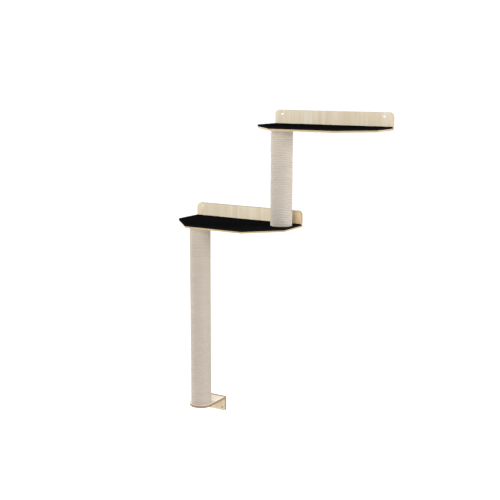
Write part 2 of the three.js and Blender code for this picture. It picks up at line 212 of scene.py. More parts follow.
# Soft lamps: the place from the middle of the tree, the width and height, and the power in watts.
LAMPS = [
    ("front_lamp", (0.0, -4.1, 1.1), (4.4, 1.2), 168),
    ("right_lamp", (2.1, -3.7, 0.4), (2.2, 2.2), 30),
    ("left_lamp", (-4.1, 0.4, 1.1), (2.2, 2.2), 173),
    ("right_rear_lamp", (3.5, 2.0, 1.5), (2.2, 2.2), 205),
]
ROOM_LIGHT = 0.15
ROOM_COLOUR = (1.0, 0.99, 0.97, 1)
# A little over white, so that no speck of the background falls below it.
BACKGROUND_WHITE = 1.03


def make_camera():
    """The camera of the photograph."""
    data = bpy.data.cameras.new("camera")
    data.sensor_width = SENSOR_WIDTH
    data.lens = FOCAL_PIXELS * SENSOR_WIDTH / IMAGE_PIXELS
    data.clip_start, data.clip_end = CAMERA_CLIP
    camera = bpy.data.objects.new("camera", data)
    bpy.context.scene.collection.objects.link(camera)
    forward = Vector((
        -math.sin(CAMERA_TURN) * math.cos(CAMERA_DIP),
        math.cos(CAMERA_TURN) * math.cos(CAMERA_DIP),
        -math.sin(CAMERA_DIP),
    ))
    right = Vector((math.cos(CAMERA_TURN), math.sin(CAMERA_TURN), 0))
    up = right.cross(forward)
    tilt = Matrix.Rotation(-CAMERA_ROLL, 3, forward)
    right, up = tilt @ right, tilt @ up
    basis = Matrix((right, up, -forward)).transposed().to_4x4()
    camera.matrix_world = Matrix.Translation(CAMERA_PLACE) @ basis
    bpy.context.scene.camera = camera


def make_lights():
    """Soft lamps that all face the middle of the tree."""
    middle = (cad_box[0] + cad_box[1]) / 2
    for name, from_middle, size, power in LAMPS:
        data = bpy.data.lights.new(name, "AREA")
        data.shape = "RECTANGLE"
        data.size, data.size_y = size
        data.energy = power
        lamp = bpy.data.objects.new(name, data)
        place = middle + Vector(from_middle)
        lamp.location = place
        lamp.rotation_euler = (middle - place).to_track_quat("-Z", "Y").to_euler()
        bpy.context.scene.collection.objects.link(lamp)


def rays_that_look(tree, path):
    """1 for rays from the camera, and for those that a shiny or clear thing passes on."""
    found = path.outputs["Is Camera Ray"]
    for kind in ("Is Glossy Ray", "Is Transmission Ray"):
        either = tree.nodes.new("ShaderNodeMath")
        either.operation = "MAXIMUM"
        tree.links.new(found, either.inputs[0])
        tree.links.new(path.outputs[kind], either.inputs[1])
        found = either.outputs[0]
    return found


def make_world():
    """Dim light from all round, and a white background for the rays that look at it."""
    world = bpy.data.worlds.new("studio")
    bpy.context.scene.world = world
    world.use_nodes = True
    tree = world.node_tree
    tree.nodes.clear()
    output = tree.nodes.new("ShaderNodeOutputWorld")
    mix = tree.nodes.new("ShaderNodeMixShader")
    lit = tree.nodes.new("ShaderNodeBackground")
    seen = tree.nodes.new("ShaderNodeBackground")
    path = tree.nodes.new("ShaderNodeLightPath")
    lit.inputs["Color"].default_value = ROOM_COLOUR
    lit.inputs["Strength"].default_value = ROOM_LIGHT
    seen.inputs["Color"].default_value = (1, 1, 1, 1)
    seen.inputs["Strength"].default_value = BACKGROUND_WHITE
    tree.links.new(rays_that_look(tree, path), mix.inputs[0])
    tree.links.new(lit.outputs[0], mix.inputs[1])
    tree.links.new(seen.outputs[0], mix.inputs[2])
    tree.links.new(mix.outputs[0], output.inputs[0])


# ---------------------------------------------------------------- shader helpers


class Shades:
    """Places and joins nodes in one shader tree. Values, colours and sockets all plug in."""

    def __init__(self, tree):
        self.tree = tree

    def node(self, kind, **settings):
        made = self.tree.nodes.new(kind)
        for name, value in settings.items():
            setattr(made, name, value)
        return made

    def plug(self, socket, value):
        if isinstance(value, bpy.types.NodeSocket):
            self.tree.links.new(value, socket)
        elif value is not None:
            socket.default_value = value

    def math(self, operation, a, b=None):
        made = self.node("ShaderNodeMath", operation=operation)
        for socket, value in zip(made.inputs, (a, b)):
            self.plug(socket, value)
        return made.outputs[0]

    def mix(self, share, a, b, blend="MIX"):
        """Two colours mixed."""
        made = self.node("ShaderNodeMix", data_type="RGBA", blend_type=blend)
        self.plug(made.inputs[0], share)
        self.plug(made.inputs[6], a)
        self.plug(made.inputs[7], b)
        return made.outputs[2]

    def blend(self, share, a, b):
        """Two values mixed."""
        made = self.node("ShaderNodeMix", data_type="FLOAT")
        self.plug(made.inputs[0], share)
        self.plug(made.inputs[2], a)
        self.plug(made.inputs[3], b)
        return made.outputs[0]

    def span(self, value, low, high, to_low=0.0, to_high=1.0, smooth=False):
        """A value from low to high, turned into one from to_low to to_high and kept there."""
        made = self.node("ShaderNodeMapRange", clamp=True)
        made.interpolation_type = "SMOOTHSTEP" if smooth else "LINEAR"
        for socket, part in zip(made.inputs, (value, low, high, to_low, to_high)):
            self.plug(socket, part)
        return made.outputs[0]

    def split(self, vector):
        made = self.node("ShaderNodeSeparateXYZ")
        self.plug(made.inputs[0], vector)
        return made.outputs

    def join(self, x, y, z):
        made = self.node("ShaderNodeCombineXYZ")
        for socket, value in zip(made.inputs, (x, y, z)):
            self.plug(socket, value)
        return made.outputs[0]

    def scaled(self, vector, scale):
        made = self.node("ShaderNodeVectorMath", operation="MULTIPLY")
        self.plug(made.inputs[0], vector)
        self.plug(made.inputs[1], scale)
        return made.outputs[0]

    def noise(self, vector, scale=1.0, detail=3.0, roughness=0.55, distortion=0.0):
        made = self.node("ShaderNodeTexNoise")
        self.plug(made.inputs["Vector"], vector)
        self.plug(made.inputs["Scale"], scale)
        self.plug(made.inputs["Detail"], detail)
        self.plug(made.inputs["Roughness"], roughness)
        self.plug(made.inputs["Distortion"], distortion)
        return made.outputs[0]

    def bump(self, height, distance, strength):
        made = self.node("ShaderNodeBump")
        self.plug(made.inputs["Height"], height)
        self.plug(made.inputs["Distance"], distance)
        self.plug(made.inputs["Strength"], strength)
        return made.outputs[0]

    def place(self, tree, **values):
        """A node group, with values for its named inputs."""
        made = self.node("ShaderNodeGroup", node_tree=tree)
        for name, value in values.items():
            self.plug(made.inputs[name], value)
        return made.outputs


def new_group(name, inputs, outputs):
    """A shader node group with named sockets. Returns its tree, inputs and a way to put out."""
    tree = bpy.data.node_groups.new(name, "ShaderNodeTree")
    kinds = {"value": "NodeSocketFloat", "colour": "NodeSocketColor", "vector": "NodeSocketVector"}
    for title, kind in inputs.items():
        tree.interface.new_socket(title, in_out="INPUT", socket_type=kinds[kind])
    for title, kind in outputs.items():
        tree.interface.new_socket(title, in_out="OUTPUT", socket_type=kinds[kind])
    entry = tree.nodes.new("NodeGroupInput")
    leave = tree.nodes.new("NodeGroupOutput")
    shades = Shades(tree)

    def put(**values):
        for title, value in values.items():
            shades.plug(leave.inputs[title], value)

    return tree, shades, entry.outputs, put


def new_material(name):
    """A material with one Principled surface. Returns it, the helper that joins its nodes, and
    the surface's inputs."""
    material = bpy.data.materials.new(name)
    material.use_nodes = True
    tree = material.node_tree
    tree.nodes.clear()
    shades = Shades(tree)
    output = shades.node("ShaderNodeOutputMaterial")
    surface = shades.node("ShaderNodeBsdfPrincipled")
    tree.links.new(surface.outputs[0], output.inputs[0])
    return material, shades, surface.inputs


def srgb(red, green, blue):
    """A colour as a screen shows it, from 0 to 255, as the linear colour that shaders take."""
    def linear(value):
        share = value / 255
        return share / 12.92 if share <= 0.04045 else ((share + 0.055) / 1.055) ** 2.4
    return (linear(red), linear(green), linear(blue), 1.0)


# ---------------------------------------------------------------- shared surface effects


def make_veneer_group():
    """Pale rotary veneer. Place is (across the grain, through, along the grain) in metres, and is
    scaled to how many clouds, bands, lines or pores there are in a metre."""
    tree, s, given, put = new_group(
        "veneer",
        {"Place": "vector", "Pale": "colour", "Warm": "colour"},
        {"Color": "colour", "Roughness": "value", "Height": "value"},
    )
    place = given["Place"]
    broad = s.noise(s.scaled(place, (26, 26, 2.2)), detail=2.5, roughness=0.6)
    bands = s.noise(s.scaled(place, (75, 75, 4.0)), detail=2.0, roughness=0.5, distortion=0.4)
    lines = s.noise(s.scaled(place, (900, 900, 16)), detail=3.0, roughness=0.65)
    pores = s.noise(s.scaled(place, (1500, 1500, 60)), detail=1.0)
    tone = s.math("ADD", s.math("MULTIPLY", broad, 0.62), s.math("MULTIPLY", bands, 0.38))
    colour = s.mix(s.span(tone, 0.36, 0.64), given["Warm"], given["Pale"])
    line_share = s.span(lines, 0.35, 0.75, 0.0, 0.22)
    colour = s.mix(line_share, colour, srgb(176, 150, 112), "MULTIPLY")
    pore_share = s.span(pores, 0.62, 0.72, 0.0, 0.22)
    colour = s.mix(pore_share, colour, srgb(150, 120, 84))
    height = s.math("ADD", s.math("MULTIPLY", lines, 0.7), s.math("MULTIPLY", pore_share, -1.2))
    put(Color=colour, Roughness=s.span(lines, 0.3, 0.7, 0.5, 0.64), Height=height)
    return tree


def make_sawn_edge_group():
    """The sawn edge of plywood: plies that run one way and the other, with thin glue lines.
    Through is 0 on one face of the board and 1 on the other."""
    tree, s, given, put = new_group(
        "sawn_edge",
        {"Place": "vector", "Through": "value", "Plies": "value", "Tint": "colour"},
        {"Color": "colour", "Roughness": "value", "Height": "value"},
    )
    wander = s.noise(s.scaled(given["Place"], (14, 14, 14)), detail=1.0)
    through = s.math("ADD", given["Through"], s.math("MULTIPLY", wander, 0.02))
    layer = s.math("MULTIPLY", through, given["Plies"])
    within = s.math("FRACT", layer)
    odd = s.math("GREATER_THAN", s.math("PINGPONG", s.math("FLOOR", layer), 1.0), 0.5)
    fibres = s.noise(s.scaled(given["Place"], (700, 700, 700)), detail=2.0, roughness=0.7)
    streaks = s.noise(s.scaled(given["Place"], (60, 60, 500)), detail=2.0)
    long_grain = s.mix(streaks, srgb(195, 179, 148), srgb(178, 158, 124))
    end_grain = s.mix(fibres, srgb(177, 153, 117), srgb(145, 119, 84))
    colour = s.mix(odd, long_grain, end_grain)
    from_glue = s.math("ABSOLUTE", s.math("SUBTRACT", within, 0.5))
    glue = s.span(from_glue, 0.44, 0.49, 0.0, 0.45)
    colour = s.mix(glue, colour, srgb(120, 88, 56))
    # The tint darkens the edges; on the middle panel it is painted shade.
    colour = s.mix(1.0, colour, given["Tint"], "MULTIPLY")
    height = s.math("SUBTRACT", s.math("MULTIPLY", fibres, odd), glue)
    put(Color=colour, Roughness=s.blend(odd, 0.62, 0.78), Height=height)
    return tree


def make_handling_group():
    """Faint marks of use: arrises rubbed paler, and soft blotches where hands have been."""
    tree, s, given, put = new_group(
        "handling",
        {"Color": "colour", "Place": "vector", "Rub": "value"},
        {"Color": "colour", "Gloss": "value"},
    )
    blotch = s.noise(s.scaled(given["Place"], (9, 9, 9)), detail=3.0, roughness=0.6)
    soiled_share = s.span(blotch, 0.55, 0.8, 0.0, 0.10)
    soiled = s.mix(soiled_share, given["Color"], srgb(190, 172, 140), "MULTIPLY")
    rubbed = s.mix(s.math("MULTIPLY", given["Rub"], 0.35), soiled, srgb(225, 214, 191))
    put(Color=rubbed, Gloss=s.span(blotch, 0.35, 0.7, -0.04, 0.05))
    return tree


# ---------------------------------------------------------------- materials

GROUPS = {
    "veneer": make_veneer_group(),
    "sawn_edge": make_sawn_edge_group(),
    "handling": make_handling_group(),
}

AXES = {"X": 0, "Y": 1, "Z": 2}
NO_TINT = (1, 1, 1, 1)

# The paler and the warmer colour of each veneer's stripes, and tints for the sawn edges.
VENEER = (srgb(226, 216, 195), srgb(213, 197, 169))
# Painted shade: the middle panel's veneer turns yellower towards its right end, over this stretch
# left of the end, for the warm shade behind the upper post.
PAINTED_SHADE_VENEER = (srgb(232, 212, 176), srgb(219, 193, 152))
PAINTED_SHADE_STRETCH = (190 * MM, 110 * MM)
# Painted light: the foot base's veneer is paler, for the light and grazing reflection on its top.
FOOT_BASE_PAINTED_LIGHT_VENEER = (srgb(241, 235, 220), srgb(231, 220, 200))
FOOT_PLATE_VENEER = (srgb(219, 205, 180), srgb(206, 189, 157))
FOOT_EDGE_TINT = srgb(201, 193, 187)
# Painted shade: the middle panel's sawn edges are tinted darker for the shade behind the upper
# post.
PANEL_EDGE_PAINTED_SHADE = {"upper": NO_TINT, "middle": srgb(226, 219, 208)}
# Where each board was cut from its sheet, in metres, so that no two show the same figure.
SHELF_SEEDS = {"middle": 1.3, "upper": 3.9}
PANEL_SEED_STEP = 0.37
FOOT_BASE_SEED = 5.1
FOOT_PLATE_SEED = 6.7
SEED_ACROSS = 1.7
# How fast the figure changes through a board, against along it.
FIGURE_THROUGH = 0.15
PAD_SEEDS = {"middle": 2.0, "upper": 9.0}
# Painted shade: the lower post's rope is tinted a shade darker than the upper one's, for the
# dimmer light on it.
ROPE_PAINTED_SHADE = {"upper_post": srgb(252, 252, 253), "lower_post": srgb(243, 241, 241)}
# Zinc plate: the colours of its dull and bright clouds, and its least and most roughness.
ZINC = {
    "zinc_plated_steel": (srgb(176, 180, 184), srgb(214, 216, 217), (0.28, 0.46)),
    # Painted light: the wall screws share one zinc, given a painted highlight on the upper panel,
    # a painted reflection of the wood on the middle panel and painted shade on the foot plate.
    "zinc_steel_painted_highlight": (srgb(226, 228, 230), srgb(240, 241, 242), (0.42, 0.55)),
    "zinc_steel_painted_wood_reflection": (srgb(202, 194, 180), srgb(214, 206, 192), (0.45, 0.6)),
    "zinc_steel_painted_shade": (srgb(128, 134, 146), srgb(158, 163, 172), (0.45, 0.6)),
}


def plywood(
    name, node, grain, through, plies, seed,
    veneer_colours=VENEER, edge_tint=NO_TINT, painted_shade_end=False,
):
    """Pale plywood for one board: veneer on its two faces, plies on its sawn edges."""
    material, s, surface = new_material(name)
    low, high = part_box(node)
    axis = AXES[through]
    across = next(a for a in "XYZ" if a not in (grain, through))
    coordinates = s.node("ShaderNodeTexCoord").outputs["Object"]
    parts = s.split(coordinates)
    place = s.join(
        s.math("ADD", parts[AXES[across]], seed * SEED_ACROSS),
        s.math("MULTIPLY", parts[axis], FIGURE_THROUGH),
        s.math("ADD", parts[AXES[grain]], seed),
    )
    level = s.span(parts[axis], low[axis], high[axis])
    pale, warm = veneer_colours
    # Painted shade: the middle panel's right end is tinted warm for the shade behind the upper
    # post.
    if painted_shade_end:
        share = s.span(parts[0], *(high.x - reach for reach in PAINTED_SHADE_STRETCH), smooth=True)
        pale, warm = (s.mix(share, *pair) for pair in zip(veneer_colours, PAINTED_SHADE_VENEER))
    veneer = s.place(GROUPS["veneer"], Place=place, Pale=pale, Warm=warm)
    edge = s.place(
        GROUPS["sawn_edge"],
        Place=coordinates, Through=level, Plies=float(plies), Tint=edge_tint,
    )
    normal = s.split(s.node("ShaderNodeNewGeometry").outputs["True Normal"])
    facing = s.math("ABSOLUTE", normal[axis])
    on_edge = s.span(facing, 0.9, 0.3)
    on_arris = s.math("MULTIPLY", s.span(facing, 0.3, 0.6), s.span(facing, 0.95, 0.8))
    colour = s.mix(on_edge, veneer["Color"], edge["Color"])
    worn = s.place(GROUPS["handling"], Color=colour, Place=coordinates, Rub=on_arris)
    roughness = s.blend(on_edge, veneer["Roughness"], edge["Roughness"])
    height = s.blend(on_edge, veneer["Height"], edge["Height"])
    s.plug(surface["Base Color"], worn["Color"])
    s.plug(surface["Roughness"], s.math("SUBTRACT", roughness, worn["Gloss"]))
    s.plug(surface["Normal"], s.bump(height, 0.12 * MM, 0.6))
    surface["Specular IOR Level"].default_value = 0.35
    return material


def felt(name):
    """Black short-pile felt over thin foam."""
    material, s, surface = new_material(name)
    place = s.node("ShaderNodeTexCoord").outputs["Object"]
    lying = s.scaled(place, (1, 1, 0.4))
    pile = s.noise(lying, scale=1100.0, detail=4.0, roughness=0.75, distortion=0.6)
    tufts = s.noise(place, scale=380.0, detail=3.0, roughness=0.7, distortion=1.2)
    nap = s.noise(place, scale=14.0, detail=3.0, roughness=0.6)
    lint = s.span(s.noise(place, scale=900.0, detail=1.0), 0.72, 0.76, 0.0, 0.5)
    colour = s.mix(s.span(pile, 0.38, 0.66), srgb(7, 7, 7), srgb(31, 31, 32))
    colour = s.mix(s.span(tufts, 0.35, 0.65, 0.0, 0.35), colour, srgb(9, 9, 10))
    colour = s.mix(s.span(nap, 0.4, 0.65, 0.0, 0.3), colour, srgb(24, 24, 26))
    colour = s.mix(lint, colour, srgb(62, 62, 64))
    height = s.math("ADD", s.math("MULTIPLY", pile, 0.6), tufts)
    s.plug(surface["Base Color"], colour)
    s.plug(surface["Roughness"], s.span(tufts, 0.3, 0.7, 0.9, 1.0))
    s.plug(surface["Normal"], s.bump(height, 0.8 * MM, 0.8))
    surface["Specular IOR Level"].default_value = 0.0
    return material


def rope_yarn(name, centre, base, pitch, tint):
    """Off-white three-strand rope, wound round an upright post about centre from base up."""
    material, s, surface = new_material(name)
    place = s.node("ShaderNodeTexCoord").outputs["Object"]
    x, y, z = s.split(place)
    east = s.math("SUBTRACT", x, centre[0])
    north = s.math("SUBTRACT", y, centre[1])
    angle = s.math("ARCTAN2", north, east)
    turns = s.math("DIVIDE", angle, 2 * math.pi)
    rise = s.math("SUBTRACT", s.math("DIVIDE", s.math("SUBTRACT", z, base), pitch), turns)
    across = s.math("FRACT", rise)
    turn = s.math("FLOOR", rise)
    length = s.math("MULTIPLY", s.math("ADD", turns, turn), 2 * math.pi * POST_RADIUS)
    lean = s.math("MULTIPLY", across, ROPE_STRAND_LEAN)
    lay = s.math("ADD", s.math("DIVIDE", length, ROPE_STRAND_LENGTH), lean)
    strand = s.math("FRACT", lay)
    off_middle = s.math("ABSOLUTE", s.math("SUBTRACT", strand, 0.5))
    groove = s.span(off_middle, 0.32, 0.5, smooth=True)
    fibres = s.noise(s.scaled(s.join(length, lay, z), (260, 9, 300)), detail=3.0, roughness=0.65)
    patches = s.noise(s.scaled(s.join(length, turn, 0.0), (5, 0.7, 0)), detail=2.0)
    colour = s.mix(s.span(patches, 0.35, 0.65), srgb(191, 183, 173), srgb(187, 179, 168))
    colour = s.mix(s.span(fibres, 0.35, 0.7, 0.0, 0.22), colour, srgb(206, 196, 180), "MULTIPLY")
    # Painted shade: the grooves between the strands are darkened.
    colour = s.mix(s.math("MULTIPLY", groove, 0.2), colour, srgb(170, 155, 134), "MULTIPLY")
    height = s.math("SUBTRACT", s.math("MULTIPLY", fibres, 0.35), groove)
    # The tint is painted shade, darker on the lower post.
    s.plug(surface["Base Color"], s.mix(1.0, colour, tint, "MULTIPLY"))
    s.plug(surface["Roughness"], s.span(fibres, 0.3, 0.7, 0.82, 0.95))
    s.plug(surface["Normal"], s.bump(height, 0.5 * MM, 0.6))
    surface["Specular IOR Level"].default_value = 0.15
    return material


def zinc(name):
    """Zinc plated steel with soft clouds of duller plate."""
    dull, bright, roughness = ZINC[name]
    material, s, surface = new_material(name)
    place = s.node("ShaderNodeTexCoord").outputs["Object"]
    cloud = s.noise(place, scale=220.0, detail=3.0)
    grain = s.noise(place, scale=2400.0, detail=1.0)
    s.plug(surface["Base Color"], s.mix(cloud, dull, bright))
    s.plug(surface["Roughness"], s.span(cloud, 0.3, 0.7, *roughness))
    s.plug(surface["Normal"], s.bump(grain, 0.05 * MM, 0.3))
    surface["Metallic"].default_value = 1.0
    return material


def cardboard(name):
    """Spiral wound brown board."""
    material, s, surface = new_material(name)
    place = s.node("ShaderNodeTexCoord").outputs["Object"]
    fibres = s.noise(s.scaled(place, (400, 400, 90)), detail=4.0, roughness=0.7)
    flecks = s.noise(place, scale=60.0, detail=2.0)
    colour = s.mix(fibres, srgb(176, 146, 106), srgb(150, 120, 84))
    colour = s.mix(s.span(flecks, 0.4, 0.7, 0.0, 0.3), colour, srgb(190, 164, 126))
    s.plug(surface["Base Color"], colour)
    s.plug(surface["Roughness"], s.span(fibres, 0.3, 0.7, 0.78, 0.92))
    s.plug(surface["Normal"], s.bump(fibres, 0.1 * MM, 0.5))
    return material


def moulded(name):
    """Dark moulded plastic with a fine matt grain."""
    material, s, surface = new_material(name)
    place = s.node("ShaderNodeTexCoord").outputs["Object"]
    grain = s.noise(place, scale=1800.0, detail=2.0)
    s.plug(surface["Base Color"], s.mix(grain, srgb(38, 38, 40), srgb(50, 50, 53)))
    s.plug(surface["Roughness"], s.span(grain, 0.3, 0.7, 0.42, 0.6))
    s.plug(surface["Normal"], s.bump(grain, 0.05 * MM, 0.4))
    return material


def give(piece, material):
    """Puts one finish on all of a piece."""
    piece.data.materials.clear()
    piece.data.materials.append(material)


# ---------------------------------------------------------------- mesh helpers


def mesh_piece(name, points, faces, material, slot, *nodes):
    """A new piece that rides on the tree, takes a finish and stands for some CAD nodes."""
    mesh = bpy.data.meshes.new(name)
    mesh.from_pydata([tuple(p) for p in points], [], [tuple(f) for f in faces])
    mesh.update()
    mesh.polygons.foreach_set("use_smooth", [True] * len(mesh.polygons))
    piece = bpy.data.objects.new(name, mesh)
    bpy.context.scene.collection.objects.link(piece)
    give(piece, material)
    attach(piece, BODY)
    if nodes:
        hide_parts(*nodes)
    return piece


def clean(piece, distance):
    """Merges points that lie together and turns every face outwards."""
    shape = bmesh.new()
    shape.from_mesh(piece.data)
    bmesh.ops.remove_doubles(shape, verts=shape.verts, dist=distance)
    bmesh.ops.dissolve_degenerate(shape, edges=shape.edges, dist=distance / 2)
    bmesh.ops.recalc_face_normals(shape, faces=shape.faces)
    shape.to_mesh(piece.data)
    shape.free()


def even_shading(piece):
    """Lets the large flat faces set the shading, so only the eased arrises look round."""
    modifier = piece.modifiers.new("even_shading", "WEIGHTED_NORMAL")
    modifier.mode = "FACE_AREA"
    modifier.keep_sharp = True


def rounded_outline(corners, inset=0.0):
    """Points anticlockwise round a convex outline that is drawn in by inset. Each corner is
    (x, y, radius), and gets as many points whatever the inset."""
    count = len(corners)
    tips = [Vector(corner[:2]) for corner in corners]
    outline = []
    for i, tip in enumerate(tips):
        before = (tip - tips[i - 1]).normalized()
        after = (tips[(i + 1) % count] - tip).normalized()
        turn = before.angle(after)
        full_radius = corners[i][2]
        steps = max(OUTLINE_CORNER_STEPS, math.ceil(turn * full_radius / OUTLINE_SEGMENT))
        radius = max(full_radius - inset, SMALLEST_RADIUS)
        inward = Vector((-before.y, before.x))
        bisector = (inward + Vector((-after.y, after.x))).normalized()
        centre = tip + bisector * ((inset + radius) / math.cos(turn / 2))
        start = math.atan2(-inward.y, -inward.x)
        for k in range(steps + 1):
            at = start + turn * k / steps
            outline.append(centre + radius * Vector((math.cos(at), math.sin(at))))
    return outline


def straight_counts(outline, spacing):
    """Into how many parts each side of an outline is cut, to have points about spacing apart."""
    return [
        max(1, round((outline[(i + 1) % len(outline)] - here).length / spacing))
        for i, here in enumerate(outline)
    ]


def cut_sides(outline, counts):
    """The outline with each of its sides cut into as many parts as the counts say."""
    full = []
    for i, here in enumerate(outline):
        there = outline[(i + 1) % len(outline)]
        full.extend(here.lerp(there, k / counts[i]) for k in range(counts[i]))
    return full


def circle(centre, radius, steps):
    """A clockwise ring, for the wall of a hole."""
    turns = (-2 * math.pi * k / steps for k in range(steps))
    return [Vector(centre) + radius * Vector((math.cos(at), math.sin(at))) for at in turns]


def inside(spot, ring, margin=0.0):
    """Whether a spot is inside a convex anticlockwise ring by at least the margin."""
    for i, here in enumerate(ring):
        side = ring[(i + 1) % len(ring)] - here
        if side.length > NO_LENGTH and side.normalized().cross(spot - here) < margin:
            return False
    return True


def wall_faces(rings, count):
    """Quads that join rings of so many points, each given by the number of its first point."""
    faces = []
    for low, high in zip(rings, rings[1:]):
        for k in range(count):
            after = (k + 1) % count
            faces.append((low + k, low + after, high + after, high + k))
    return faces


# ---------------------------------------------------------------- sawn plywood boards


def sawn_board(node, corners, holes, thick, upright, material):
    """A board with eased arrises. Its corners lie in XY, or in XZ for an upright board, whose
    back is on the wall. Each hole is (centre, [(radius, depth), ...]) through the board."""
    low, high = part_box(node)
    points, faces, face_loops = [], [], ([], [])

    def add_wall(rings):
        count = len(rings[0][0])
        starts = []
        for ring, depth in rings:
            starts.append(len(points))
            points.extend((p.x, p.y, depth) for p in ring)
        faces.extend(wall_faces(starts, count))
        face_loops[0].append(list(range(starts[0], starts[0] + count)))
        face_loops[1].append(list(range(starts[-1], starts[-1] + count)))

    eased = []
    for k in range(ARRIS_STEPS + 1):
        at = math.pi / 2 * k / ARRIS_STEPS
        eased.append((ARRIS * (1 - math.sin(at)), ARRIS * (1 - math.cos(at))))
    outer = [(rounded_outline(corners, inset), depth) for inset, depth in eased]
    outer += [(rounded_outline(corners, inset), thick - depth) for inset, depth in reversed(eased)]
    add_wall(outer)
    for centre, profile in holes:
        add_wall([(circle(centre, radius, HOLE_STEPS), depth) for radius, depth in profile])

    for loops, flip in zip(face_loops, (True, False)):
        flat = [[Vector(points[i]) for i in loop] for loop in loops]
        numbers = [i for loop in loops for i in loop]
        for a, b, c in tessellate_polygon(flat):
            face = (numbers[a], numbers[b], numbers[c])
            faces.append(tuple(reversed(face)) if flip else face)

    if upright:
        placed = [(x, high.y - depth, z) for x, z, depth in points]
    else:
        placed = [(x, y, low.z + depth) for x, y, depth in points]
    piece = mesh_piece(f"{node}_sawn", placed, faces, material, "plywood", node)
    clean(piece, SAME_POINT)
    even_shading(piece)


def drilled(radius, thick):
    """The wall of a plain hole whose mouths are slightly broken."""
    mouth = radius + HOLE_EASE
    return [(mouth, 0), (radius, HOLE_EASE), (radius, thick - HOLE_EASE), (mouth, thick)]


def countersunk(shank, head, thick, from_low):
    """The wall of a hole with a 90 degree countersink at one face."""
    depth = head - shank
    if from_low:
        return [(head, 0), (shank, depth), (shank, thick)]
    return [(shank, 0), (shank, thick - depth), (head, thick)]


def bolt_hole(thick):
    """The wall of the hole for the bolt that comes up into a post."""
    return drilled(BOLT_HOLE / 2, thick)


def sunk_bolt_hole(thick):
    """The wall of the hole for the bolt that goes down into a post, its head sunk in the board."""
    return countersunk(BOLT_HOLE / 2, BOLT_HEAD_HOLE / 2, thick, False)


def shelf_corners(low, high):
    """The plan of a shelf board, whose front corners are cut off."""
    return [
        (low.x, high.y, SHELF_BACK_RADIUS),
        (low.x, -SHELF_SIDE_DEPTH, SHELF_FRONT_RADIUS),
        (low.x + SHELF_CORNER_WIDTH, low.y, SHELF_FRONT_RADIUS),
        (high.x - SHELF_CORNER_WIDTH, low.y, SHELF_FRONT_RADIUS),
        (high.x, -SHELF_SIDE_DEPTH, SHELF_FRONT_RADIUS),
        (high.x, high.y, SHELF_BACK_RADIUS),
    ]


def upright_corners(low, high, bottom_radius, top_radius):
    """The outline of a board that lies flat on the wall."""
    return [
        (low.x, low.z, bottom_radius), (high.x, low.z, bottom_radius),
        (high.x, high.z, top_radius), (low.x, high.z, top_radius),
    ]


def fixing_places(node):
    """Where the left and the right wall screw go through a board on the wall, as (x, z)."""
    low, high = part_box(node)
    if node == "foot_wall_plate":
        from_side, height = FOOT_HOLE_FROM_SIDE, low.z + FOOT_HOLE_FROM_BOTTOM
    else:
        from_side, height = PANEL_HOLE_FROM_END, high.z - PANEL_HOLE_FROM_TOP
    return [(low.x + from_side, height), (high.x - from_side, height)]


def upright_holes(node, count, spacing, height, thick):
    """The holes of a board on the wall: two for wall screws, and a row at one height for the
    screws that hold the board in front of it."""
    low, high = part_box(node)
    middle = (low.x + high.x) / 2
    sunk = countersunk(SCREW_HOLE / 2, SCREW_HEAD_HOLE / 2, thick, True)
    fixing = [(place, drilled(FIXING_HOLE / 2, thick)) for place in fixing_places(node)]
    row = [((middle + (i - (count - 1) / 2) * spacing, height), sunk) for i in range(count)]
    return fixing + row


def shelf_wood(shelf, bolt_holes):
    """A shelf's board and the upright panel that it is screwed to."""
    board, panel = f"{shelf}_shelf_board", f"{shelf}_wall_panel"
    seed = SHELF_SEEDS[shelf]
    low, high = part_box(board)
    thick = high.z - low.z
    screw_height = (low.z + high.z) / 2
    holes = [(place, wall(thick)) for place, wall in bolt_holes]
    wood = plywood(f"{board}_plywood", board, "X", "Z", PLIES["board"], seed)
    sawn_board(board, shelf_corners(low, high), holes, thick, False, wood)

    low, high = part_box(panel)
    thick = high.y - low.y
    corners = upright_corners(low, high, PANEL_BOTTOM_RADIUS, PANEL_TOP_RADIUS)
    holes = upright_holes(panel, SHELF_SCREWS, SHELF_SCREW_SPACING, screw_height, thick)
    wood = plywood(
        f"{panel}_plywood", panel, "Z", "Y", PLIES["panel"], seed + PANEL_SEED_STEP,
        VENEER, PANEL_EDGE_PAINTED_SHADE[shelf], shelf == "middle",
    )
    sawn_board(panel, corners, holes, thick, True, wood)


def foot_wood():
    """The round-nosed base under the lower post and the small plate that holds it to the wall."""
    base, plate = "foot_base_plate", "foot_wall_plate"
    low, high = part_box(base)
    thick = high.z - low.z
    screw_height = (low.z + high.z) / 2
    nose = (high.x - low.x) / 2 - SAME_POINT
    corners = [
        (low.x, high.y, FOOT_BASE_BACK_RADIUS), (low.x, low.y, nose),
        (high.x, low.y, nose), (high.x, high.y, FOOT_BASE_BACK_RADIUS),
    ]
    holes = [(LOWER_POST, bolt_hole(thick))]
    wood = plywood(
        "foot_base_plywood", base, "Y", "Z", PLIES["foot"], FOOT_BASE_SEED,
        FOOT_BASE_PAINTED_LIGHT_VENEER, FOOT_EDGE_TINT,
    )
    sawn_board(base, corners, holes, thick, False, wood)

    low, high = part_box(plate)
    thick = high.y - low.y
    corners = upright_corners(low, high, FOOT_PLATE_BOTTOM_RADIUS, FOOT_PLATE_TOP_RADIUS)
    holes = upright_holes(plate, FOOT_SCREWS, FOOT_SCREW_SPACING, screw_height, thick)
    wood = plywood(
        "foot_plate_plywood", plate, "Z", "Y", PLIES["panel"], FOOT_PLATE_SEED,
        FOOT_PLATE_VENEER, FOOT_EDGE_TINT,
    )
    sawn_board(plate, corners, holes, thick, True, wood)


# ---------------------------------------------------------------- screws into the wall


def cross_ring(share):
    """A cross, clockwise, at a share of its full size."""
    reach, half = CROSS_ARM * share, CROSS_HALF_WIDTH * share
    arm = [(half, half), (half, reach), (-half, reach)]
    ring = []
    for _ in range(4):
        ring.extend(Vector(spot) for spot in arm)
        arm = [(-y, x) for x, y in arm]
    return list(reversed(ring))


